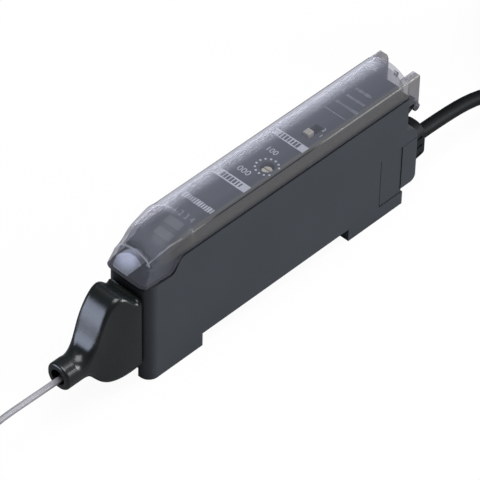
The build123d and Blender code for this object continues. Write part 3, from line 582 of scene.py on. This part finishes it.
def coil_turns(outer, columns, layers, diameter, from_top):
    """The turns of a coil in winding order, as (radius, height): one layer inwards, the next outwards."""
    radii = [outer - diameter * column for column in range(columns)]
    heights = [diameter * (layer + 0.5) for layer in range(layers)]
    if from_top:
        heights.reverse()
    turns = []
    for layer, height in enumerate(heights):
        for radius in radii if layer % 2 == 0 else reversed(radii):
            turns.append((radius, height))
    return turns


def winding(centre, turns, way):
    """Control points of a neat coil, from its -Y side. Each turn eases into the next near its end."""
    points = []
    for place, (radius, height) in enumerate(turns):
        last = place == len(turns) - 1
        next_radius, next_height = turns[place if last else place + 1]
        for step in range(round(TURN_STEPS * (LAST_TURN if last else 1.0))):
            ease = max(0.0, (step - TURN_STEPS + EASE_STEPS) / EASE_STEPS)
            reach = (radius + (next_radius - radius) * ease) * TURN_SWELL
            angle = -math.pi / 2 + way * 2 * math.pi * step / TURN_STEPS
            points.append(round_centre(centre, angle, reach, height + (next_height - height) * ease))
    return points


def lead_curve(name, points, diameter, finish, slot):
    """A round lead along a smooth line."""
    curve = bpy.data.curves.new(name, "CURVE")
    curve.dimensions = "3D"
    curve.bevel_depth = diameter / 2
    curve.bevel_resolution = 3
    curve.use_fill_caps = True
    line = curve.splines.new("NURBS")
    line.points.add(len(points) - 1)
    for control, point in zip(line.points, points):
        control.co = (*point, 1)
    line.order_u = 3
    line.use_endpoint_u = True
    line.resolution_u = 4
    lead = bpy.data.objects.new(name, curve)
    bpy.context.scene.collection.objects.link(lead)
    curve.materials.append(finish[slot])
    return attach(lead, "housing")


def sensor_lead(finish):
    """The thin lead: straight out of the boot, wound up, then along the floor to the sensor head."""
    turns = coil_turns(outer=0.00925, columns=6, layers=8, diameter=SENSOR_LEAD_WIDTH, from_top=True)
    points = SENSOR_RUN + winding(SENSOR_COIL, turns, -1) + SENSOR_TAIL
    lead = lead_curve("sensor_lead_whole", points, SENSOR_LEAD_WIDTH, finish, "grey_jacket")
    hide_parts("sensor_cable", "sensor_cable_coil", "sensor_cable_tail")


def output_lead(finish):
    """The three-core lead: out of the bush, down to the floor, wound up, its bare end on top of the coil."""
    turns = coil_turns(outer=0.01555, columns=3, layers=8, diameter=OUTPUT_LEAD_WIDTH, from_top=False)
    climb = [
        round_centre(OUTPUT_COIL, math.radians(degrees), radius * MM, height * MM)
        for degrees, radius, height in OUTPUT_CLIMB
    ]
    points = OUTPUT_RUN + winding(OUTPUT_COIL, turns, 1) + climb + OUTPUT_END
    lead = lead_curve("output_lead_whole", points, OUTPUT_LEAD_WIDTH, finish, "jacket")
    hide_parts("output_cable", "output_cable_coil")


def press_spring():
    """Gives the spring a mesh of its own. The latch pushes its spring up against the peg: 4.1 mm long at
    rest, 2.5 mm when the latch is out.
    """
    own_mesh(node["latch_spring"])


# Floor, world and lamps.

WHITE = (1, 1, 1, 1)
FLOOR_REACH = 3.0
FLOOR_PAPER = (0.32, 0.32, 0.32, 1)
FLOOR_SHADE = (0.22, 0.23, 0.24, 1)
FLOOR_GLOW = 1.1
FLOOR_LIFT = 0.86  # Share of the glow in what the camera sees. The rest keeps the shadow.
WORLD_SEEN = 1.0
WORLD_AROUND = 0.07
PART_MIDDLE = (0, 0, 0.015)
BOOT_MIDDLE = (-0.034, 0, 0.016)
OVERHEAD = (0.05, -0.1, 1.0)
DARK_PIECES = ("housing_shell", "rear_cap", "output_bush", "output_lead_whole")


def white_floor():
    """A white sweep with a faint shadow. Glossy reflections see it darker, as under a low flag."""
    made = Finish("white_floor")
    rays = made.add("ShaderNodeLightPath").outputs
    paper = made.add("ShaderNodeBsdfDiffuse", {"Color": FLOOR_PAPER}).outputs["BSDF"]
    shade = made.add("ShaderNodeBsdfDiffuse", {"Color": FLOOR_SHADE}).outputs["BSDF"]
    glow = made.add("ShaderNodeEmission", {"Color": WHITE, "Strength": FLOOR_GLOW}).outputs["Emission"]
    seen = made.maths("MAXIMUM", rays["Is Camera Ray"], rays["Is Transmission Ray"])
    flagged = made.layered(rays["Is Glossy Ray"], paper, shade)
    lifted = made.layered(FLOOR_LIFT, paper, glow)
    sheet = bpy.data.meshes.new("floor")
    corners = [(x * FLOOR_REACH, y * FLOOR_REACH, 0) for x, y in ((-1, -1), (1, -1), (1, 1), (-1, 1))]
    sheet.from_pydata(corners, [], [(0, 1, 2, 3)])
    floor = bpy.data.objects.new("floor", sheet)
    bpy.context.scene.collection.objects.link(floor)
    floor.data.materials.append(made.done(made.layered(seen, flagged, lifted)))


def pale_world():
    """White where the camera sees it, and dim on the part."""
    world = bpy.data.worlds.new("studio")
    bpy.context.scene.world = world
    world.use_nodes = True
    tree = world.node_tree
    tree.nodes.clear()
    rays = add_node(tree, "ShaderNodeLightPath")
    around, seen = (
        add_node(tree, "ShaderNodeBackground", {"Color": WHITE, "Strength": strength}).outputs["Background"]
        for strength in (WORLD_AROUND, WORLD_SEEN)
    )
    chosen = add_node(tree, "ShaderNodeMixShader", {0: rays.outputs["Is Camera Ray"], 1: around, 2: seen})
    add_node(tree, "ShaderNodeOutputWorld", {"Surface": chosen.outputs["Shader"]})


def soft_box(name, place, width, height, power, colour=(1, 1, 1), aim=PART_MIDDLE):
    """A rectangular lamp that looks at the part."""
    lamp = bpy.data.lights.new(name, "AREA")
    lamp.shape = "RECTANGLE"
    lamp.size = width
    lamp.size_y = height
    lamp.energy = power
    lamp.color = colour
    box = bpy.data.objects.new(name, lamp)
    box.location = place
    box.rotation_mode = "QUATERNION"
    box.rotation_quaternion = (Vector(aim) - Vector(place)).to_track_quat("-Z", "Y")
    bpy.context.scene.collection.objects.link(box)
    return box


def only_for(box, *names):
    """Makes a lamp light these pieces alone."""
    lit = bpy.data.collections.new(box.name + "_receivers")
    for name in names:
        lit.objects.link(bpy.data.objects[name])
    box.light_linking.receiver_collection = lit


def all_but(box, *names):
    """Makes a lamp light everything but these pieces."""
    only_for(box, *names)
    for left_out in box.light_linking.receiver_collection.collection_objects:
        left_out.light_linking.link_state = "EXCLUDE"


def light_studio():
    """Soft boxes round the part. Some light only the pieces that need them."""
    boot_box = soft_box("boot_box", (-0.106, 0.046, 0.025), 0.06, 0.05, 0.062, (0.72, 0.80, 1.0), BOOT_MIDDLE)
    boot_box.visible_diffuse = False
    only_for(boot_box, "sensor_boot")
    lens_box = soft_box("lens_box", (-0.711, 0.411, 0.3), 0.5, 0.4, 8.0, (0.85, 0.9, 1.0))
    only_for(lens_box, "indicator_lens")
    far_box = soft_box("far_box", (0.50, 0.62, 0.30), 1.0, 0.62, 19.0, (0.93, 0.94, 1.0))
    only_for(far_box, "dust_cover")
    soft_box("near_box", (0.75, -0.62, 0.32), 0.7, 0.4, 8.6)
    all_but(soft_box("top_box", OVERHEAD, 0.8, 0.8, 11.5), *DARK_PIECES)
    only_for(soft_box("dim_top_box", OVERHEAD, 0.8, 0.8, 2.5), *DARK_PIECES)
    back_box = soft_box("back_box", (0.3, 0.9, 0.45), 0.8, 0.5, 12.0)
    only_for(back_box, "housing_shell", "rear_cap", "rail_latch")
    bpy.context.scene.view_settings.view_transform = "Standard"


# Printing on the control panel. Its lists in print_panel give places and sizes in millimetres.

PANEL_TOP = 0.02655
ABOVE_PANEL = 0.04
INK_LIFT = 0.00001
LETTERING_LIFT = 0.00003  # Clear of the bars.
FIELD_THICKNESS = 0.00001
MARK_THICKNESS = 0.00002
FIELD_CELL = 0.4  # Millimetres between a field's grid lines.
FIGURE_SHARE = 0.7  # A figure's height as a share of the font's size.
TALL_SEED_STEP = 17.0

DIAL_SCALE = {
    "Centre": (0.00356, -0.00187, PANEL_TOP + INK_LIFT),
    "Arc radius": 0.002,
    "Dot radius": 0.00021,
    "Dots": 12,
    "First angle": math.radians(-55),
    "Swept angle": math.radians(290),
}
LAMP_DOT = {
    "Centre": (0.0205, -0.00046, PANEL_TOP + INK_LIFT),
    "Arc radius": 0.00001,
    "Dot radius": 0.0002,
    "Dots": 2,
}
BAR_MARKS = {
    "Marks": 7,
    "Spacing": 0.00066,
    "Mark height": 0.0012,
    "Narrowest": 0.35,
    "Widest": 0.75,
    "Shortest": 0.8,
}
SCALE_MARKS = {
    "Marks": 13,
    "Spacing": 0.00051,
    "Mark height": 0.0014,
    "Narrowest": 0.45,
    "Widest": 0.8,
    "Shortest": 0.7,
}
ROW_MARKS = {"Spacing": 0.00045, "Mark height": 0.0008, "Narrowest": 0.3, "Widest": 0.7, "Shortest": 0.6}


class Panel:
    """The control panel's own surface, so that print lies on it wherever it slopes."""

    def __init__(self):
        mesh = node["control_panel"].data
        corners = [v.co.copy() for v in mesh.vertices]
        self.surface = BVHTree.FromPolygons(corners, [tuple(p.vertices) for p in mesh.polygons])

    def height(self, x, y):
        hit = self.surface.ray_cast(Vector((x, y, ABOVE_PANEL)), Vector((0, 0, -1)))[0]
        return hit.z if hit else PANEL_TOP

    def lay(self, mesh):
        """Drops a flat mesh onto the panel."""
        for corner in mesh.vertices:
            corner.co.z += self.height(corner.co.x, corner.co.y) + INK_LIFT


def printed(name, mesh):
    """A piece of print, which rides on the housing."""
    made = bpy.data.objects.new(name, mesh)
    bpy.context.scene.collection.objects.link(made)
    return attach(made, "housing")


def plain_mesh(draft, name):
    """What a draft object comes to, as a mesh of its own. The draft is removed."""
    mesh = bpy.data.meshes.new_from_object(draft.evaluated_get(bpy.context.evaluated_depsgraph_get()))
    bpy.data.objects.remove(draft)
    mesh.name = name
    return mesh


def ink_field(name, panel, x0, x1, y0, y1, ink):
    """A printed rectangle, in millimetres, that follows the panel."""
    grid = bmesh.new()
    columns = max(1, round((x1 - x0) / FIELD_CELL))
    rows = max(1, round((y1 - y0) / FIELD_CELL))
    corners = [
        [
            grid.verts.new(((x0 + (x1 - x0) * i / columns) * MM, (y0 + (y1 - y0) * j / rows) * MM, 0))
            for j in range(rows + 1)
        ]
        for i in range(columns + 1)
    ]
    for i in range(columns):
        for j in range(rows):
            grid.faces.new((corners[i][j], corners[i + 1][j], corners[i + 1][j + 1], corners[i][j + 1]))
    mesh = bpy.data.meshes.new(name)
    grid.to_mesh(mesh)
    grid.free()
    panel.lay(mesh)
    mesh.materials.append(ink)
    skin = printed(name, mesh).modifiers.new("ink_thickness", "SOLIDIFY")
    skin.thickness = FIELD_THICKNESS
    skin.offset = -1


def figures(name, text, panel, x, y, height, ink):
    """Plain figures printed across the panel, in millimetres, read from the sensor lead's end."""
    curve = bpy.data.curves.new(name, "FONT")
    curve.body = text
    curve.size = height * MM / FIGURE_SHARE
    curve.align_x = "CENTER"
    curve.align_y = "CENTER"
    curve.resolution_u = 3
    draft = bpy.data.objects.new(name, curve)
    bpy.context.scene.collection.objects.link(draft)
    mesh = plain_mesh(draft, name)
    mesh.transform(Matrix.Translation((x * MM, y * MM, 0)) @ Matrix.Rotation(-math.pi / 2, 4, "Z"))
    panel.lay(mesh)
    mesh.materials.clear()
    mesh.materials.append(ink)
    printed(name, mesh)


def new_tree(name, inputs):
    """A Geometry Nodes tree and what its named inputs give. Each input is (name, kind, value)."""
    tree = bpy.data.node_groups.new(name, "GeometryNodeTree")
    tree.interface.new_socket("Geometry", in_out="OUTPUT", socket_type="NodeSocketGeometry")
    for label, kind, value in inputs:
        socket = tree.interface.new_socket(label, in_out="INPUT", socket_type="NodeSocket" + kind)
        if kind != "Material":
            socket.default_value = value
    return tree, tree.nodes.new("NodeGroupInput").outputs


def ink_tree(tree, copies, finish):
    """Ends a tree: its copies are made real and take their ink."""
    real = add_node(tree, "GeometryNodeRealizeInstances", {"Geometry": copies})
    inked = add_node(
        tree, "GeometryNodeSetMaterial", {"Geometry": real.outputs["Geometry"], "Material": finish}
    )
    add_node(tree, "NodeGroupOutput", {"Geometry": inked.outputs["Geometry"]})
    return tree


def grown(name, tree, values, ink):
    """The tree's result with these input values, as a plain mesh piece."""
    draft = bpy.data.objects.new(name + "_draft", bpy.data.meshes.new(name + "_draft"))
    bpy.context.scene.collection.objects.link(draft)
    modifier = draft.modifiers.new("tree", "NODES")
    modifier.node_group = tree
    chosen = {**values, "Finish": ink}
    for item in tree.interface.items_tree:
        if item.in_out == "INPUT" and item.name in chosen:
            modifier[item.identifier] = chosen[item.name]
    bpy.context.view_layer.update()
    printed(name, plain_mesh(draft, name))


def dot_arc_tree():
    """Round dots along an arc, such as the scale round the dial."""
    tree, given = new_tree(
        "dot_arc",
        [
            ("Centre", "Vector", (0, 0, 0)),
            ("Arc radius", "Float", 0.002),
            ("Dot radius", "Float", 0.0002),
            ("Dots", "Int", 12),
            ("First angle", "Float", 0.0),
            ("Swept angle", "Float", 5.0),
            ("Ink thickness", "Float", MARK_THICKNESS),
            ("Finish", "Material", None),
        ],
    )
    arc = add_node(
        tree,
        "GeometryNodeCurveArc",
        {
            "Resolution": given["Dots"],
            "Radius": given["Arc radius"],
            "Start Angle": given["First angle"],
            "Sweep Angle": given["Swept angle"],
        },
        mode="RADIUS",
    )
    dot = add_node(
        tree,
        "GeometryNodeMeshCylinder",
        {"Vertices": 12, "Radius": given["Dot radius"], "Depth": given["Ink thickness"]},
    )
    dots = add_node(
        tree,
        "GeometryNodeInstanceOnPoints",
        {"Points": arc.outputs["Curve"], "Instance": dot.outputs["Mesh"]},
    )
    placed = add_node(
        tree,
        "GeometryNodeTransform",
        {"Geometry": dots.outputs["Instances"], "Translation": given["Centre"]},
    )
    return ink_tree(tree, placed.outputs["Geometry"], given["Finish"])


def mark_row_tree():
    """A row of small upright marks of uneven width and height, spaced evenly along Y."""
    tree, given = new_tree(
        "mark_row",
        [
            ("Start", "Vector", (0, 0, 0)),
            ("Marks", "Int", 8),
            ("Spacing", "Float", 0.0005),
            ("Mark height", "Float", 0.001),
            ("Narrowest", "Float", 0.3),
            ("Widest", "Float", 0.8),
            ("Shortest", "Float", 0.7),
            ("Ink thickness", "Float", MARK_THICKNESS),
            ("Seed", "Int", 1),
            ("Finish", "Material", None),
        ],
    )

    def drawn(least, most, seed):
        """A random number for each mark."""
        return add_node(
            tree, "FunctionNodeRandomValue", {2: least, 3: most, "Seed": seed}, data_type="FLOAT"
        ).outputs[1]

    back = add_node(tree, "ShaderNodeMath", {0: given["Spacing"], 1: -1.0}, operation="MULTIPLY")
    step = add_node(tree, "ShaderNodeCombineXYZ", {"Y": back.outputs["Value"]})
    row = add_node(
        tree,
        "GeometryNodeMeshLine",
        {"Count": given["Marks"], "Start Location": given["Start"], "Offset": step.outputs["Vector"]},
    )
    size = add_node(
        tree,
        "ShaderNodeCombineXYZ",
        {"X": given["Mark height"], "Y": given["Spacing"], "Z": given["Ink thickness"]},
    )
    mark = add_node(tree, "GeometryNodeMeshCube", {"Size": size.outputs["Vector"]})
    width = drawn(given["Narrowest"], given["Widest"], given["Seed"])
    tall_seed = add_node(tree, "ShaderNodeMath", {0: given["Seed"], 1: TALL_SEED_STEP}, operation="ADD")
    tall = drawn(given["Shortest"], 1.0, tall_seed.outputs["Value"])
    scale = add_node(tree, "ShaderNodeCombineXYZ", {"X": tall, "Y": width, "Z": 1.0})
    marks = add_node(
        tree,
        "GeometryNodeInstanceOnPoints",
        {"Points": row.outputs["Mesh"], "Instance": mark.outputs["Mesh"], "Scale": scale.outputs["Vector"]},
    )
    return ink_tree(tree, marks.outputs["Instances"], given["Finish"])


def print_panel():
    """Scale dots, figures, title bars and rows of plain marks."""
    panel = Panel()
    ink = print_ink("pale_print", (0.56, 0.58, 0.62), (0.80, 0.82, 0.87))
    faint = print_ink("faint_print", (0.24, 0.25, 0.28), (0.38, 0.40, 0.44))
    dim = print_ink("dim_print", (0.10, 0.105, 0.115), (0.17, 0.175, 0.19))
    dark = moulded("bar_lettering", (0.07, 0.075, 0.088), (0.09, 0.095, 0.11), (0.5, 0.6))
    arcs = dot_arc_tree()
    rows = mark_row_tree()
    grown("dial_scale", arcs, DIAL_SCALE, ink)
    for name, x0, x1, y0, y1, tone in (
        ("front_bar", -3.6, -1.86, -3.5, 3.4, ink),
        ("rear_bar", 10.2, 11.78, -3.6, 3.5, ink),
        ("front_patch", -19.4, -17.9, -1.9, 1.6, dim),
        ("second_patch", -16.9, -15.3, -1.6, 1.8, dim),
        ("cross_line", 21.12, 21.26, -2.9, 1.8, faint),
    ):
        ink_field(name, panel, x0, x1, y0, y1, tone)
    for name, x, y, marks, seed, lift, tone in (
        ("front_bar_marks", -2.73, 2.1, BAR_MARKS, 3, LETTERING_LIFT, dark),
        ("rear_bar_marks", 10.99, 2.1, BAR_MARKS, 8, LETTERING_LIFT, dark),
        ("plain_scale", -10.55, 3.1, SCALE_MARKS, 21, INK_LIFT, ink),
        ("rear_row_1", 23.7, 1.2, {**ROW_MARKS, "Marks": 11}, 31, INK_LIFT, faint),
        ("rear_row_2", 26.0, 0.9, {**ROW_MARKS, "Marks": 9}, 37, INK_LIFT, faint),
        ("rear_row_3", 28.3, 1.0, {**ROW_MARKS, "Marks": 8}, 43, INK_LIFT, faint),
    ):
        grown(name, rows, {**marks, "Start": (x * MM, y * MM, PANEL_TOP + lift), "Seed": seed}, tone)
    for name, text, x, y, height, tone in (
        ("low_figure", "000", 0.22, 0.2, 1.25, ink),
        ("high_figure", "100", 6.98, 0.3, 1.15, ink),
        ("mode_figure_1", "1", 15.35, -2.9, 0.8, ink),
        ("mode_figure_2", "2", 16.8, -2.3, 0.8, ink),
        ("front_figures", "1 2 3 4", -14.1, -0.1, 1.1, faint),
    ):
        figures(name, text, panel, x, y, height, tone)
    grown("lamp_dot", arcs, LAMP_DOT, ink)


place_camera()
white_floor()
finish = finishes()
dress_nodes(finish)
press_spring()
print_panel()
sensor_lead(finish)
output_lead(finish)
pale_world()
light_studio()
